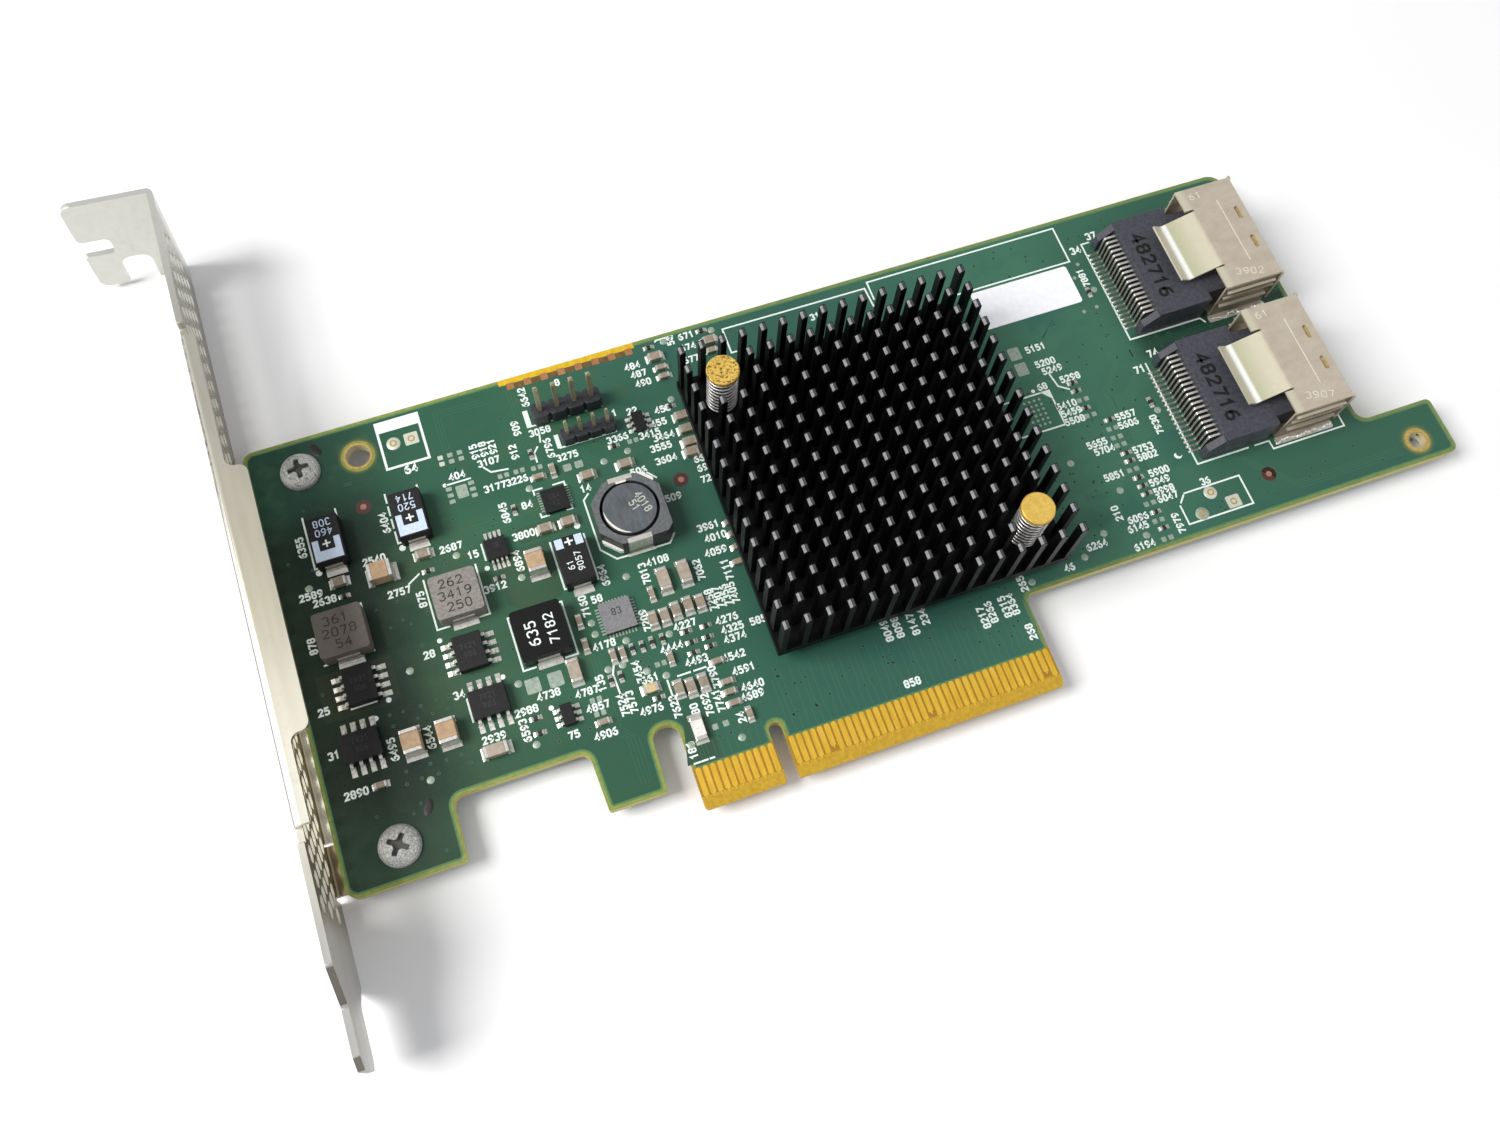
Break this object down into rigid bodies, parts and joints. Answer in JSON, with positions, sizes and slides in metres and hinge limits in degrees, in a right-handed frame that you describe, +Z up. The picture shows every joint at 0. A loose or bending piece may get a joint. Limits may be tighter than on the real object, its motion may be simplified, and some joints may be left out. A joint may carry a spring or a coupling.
{
  "type": "host bus adapter card",
  "caption": "Flat expansion card with a folded, vented slot bracket, a square pin-fin heat sink, a gold edge connector and internal cable ports, for linking storage drives to a computer.",
  "frame": {"origin": "middle of the connector's key notch, on the connector's lower edge and the board's component face", "axes": "+X along the board away from the bracket, +Y from the connector to the board's top edge, +Z up out of the component face"},
  "size_m": [0.1815, 0.1219, 0.0193],
  "materials": {
    "board_laminate": "solder-masked glass-epoxy laminate, satin",
    "gold_plate": "hard gold plating over nickel",
    "bracket_steel": "nickel-plated sheet steel, satin",
    "screw_steel": "zinc-plated steel",
    "sink_aluminium": "black anodised aluminium",
    "pin_brass": "turned brass",
    "spring_steel": "bright spring wire",
    "mould_black": "moulded epoxy, matt black",
    "pad_grey": "soft thermal interface pad",
    "cage_tin": "tin-plated stamped sheet",
    "port_plastic": "moulded plastic, dark grey",
    "tin": "tinned copper and solder",
    "header_plastic": "moulded plastic, black",
    "ceramic_tan": "fired ceramic, satin",
    "ceramic_white": "fired ceramic, white",
    "resistor_black": "glazed film on ceramic",
    "lamp_tan": "clouded lens plastic",
    "ferrite_grey": "pressed ferrite, matt",
    "ferrite_black": "pressed ferrite, black",
    "chip_grey": "moulded package with a grey top"
  },
  "bodies": {
    "root": {"circuit_board": "board_laminate", "edge_contacts": "gold_plate", "slot_bracket": "bracket_steel", "bracket_screws": "screw_steel", "heat_sink": "sink_aluminium", "heat_sink_push_pins": "pin_brass", "heat_sink_springs": "spring_steel", "controller_chip": "mould_black", "thermal_pad": "pad_grey", "port_cages": "cage_tin", "port_housings": "port_plastic", "port_contacts": "tin", "tall_header_body": "header_plastic", "tall_header_pins": "gold_plate", "low_header_body": "header_plastic", "low_header_pins": "gold_plate", "large_capacitor_bodies": "ceramic_tan", "large_capacitor_ends": "tin", "medium_capacitor_bodies": "ceramic_tan", "medium_capacitor_ends": "tin", "small_capacitor_bodies": "ceramic_tan", "small_capacitor_ends": "tin", "tiny_capacitor_bodies": "ceramic_tan", "tiny_capacitor_ends": "tin", "chip_resistor_bodies": "resistor_black", "chip_resistor_ends": "tin", "fuse_body": "ceramic_white", "fuse_ends": "tin", "indicator_lamp_body": "lamp_tan", "indicator_lamp_ends": "tin", "tantalum_bodies": "mould_black", "tantalum_terminals": "tin", "grey_inductors": "ferrite_grey", "black_inductor": "ferrite_black", "inductor_terminals": "tin", "power_inductor_frame": "ferrite_grey", "power_inductor_core": "ferrite_grey", "power_inductor_terminals": "tin", "transistor_bodies": "mould_black", "transistor_leads": "tin", "regulator_chip_body": "mould_black", "regulator_chip_leads": "tin", "small_chip_bodies": "mould_black", "small_chip_leads": "tin", "flat_chip_dark": "mould_black", "flat_chip_grey": "chip_grey"}
  },
  "joints": []
}
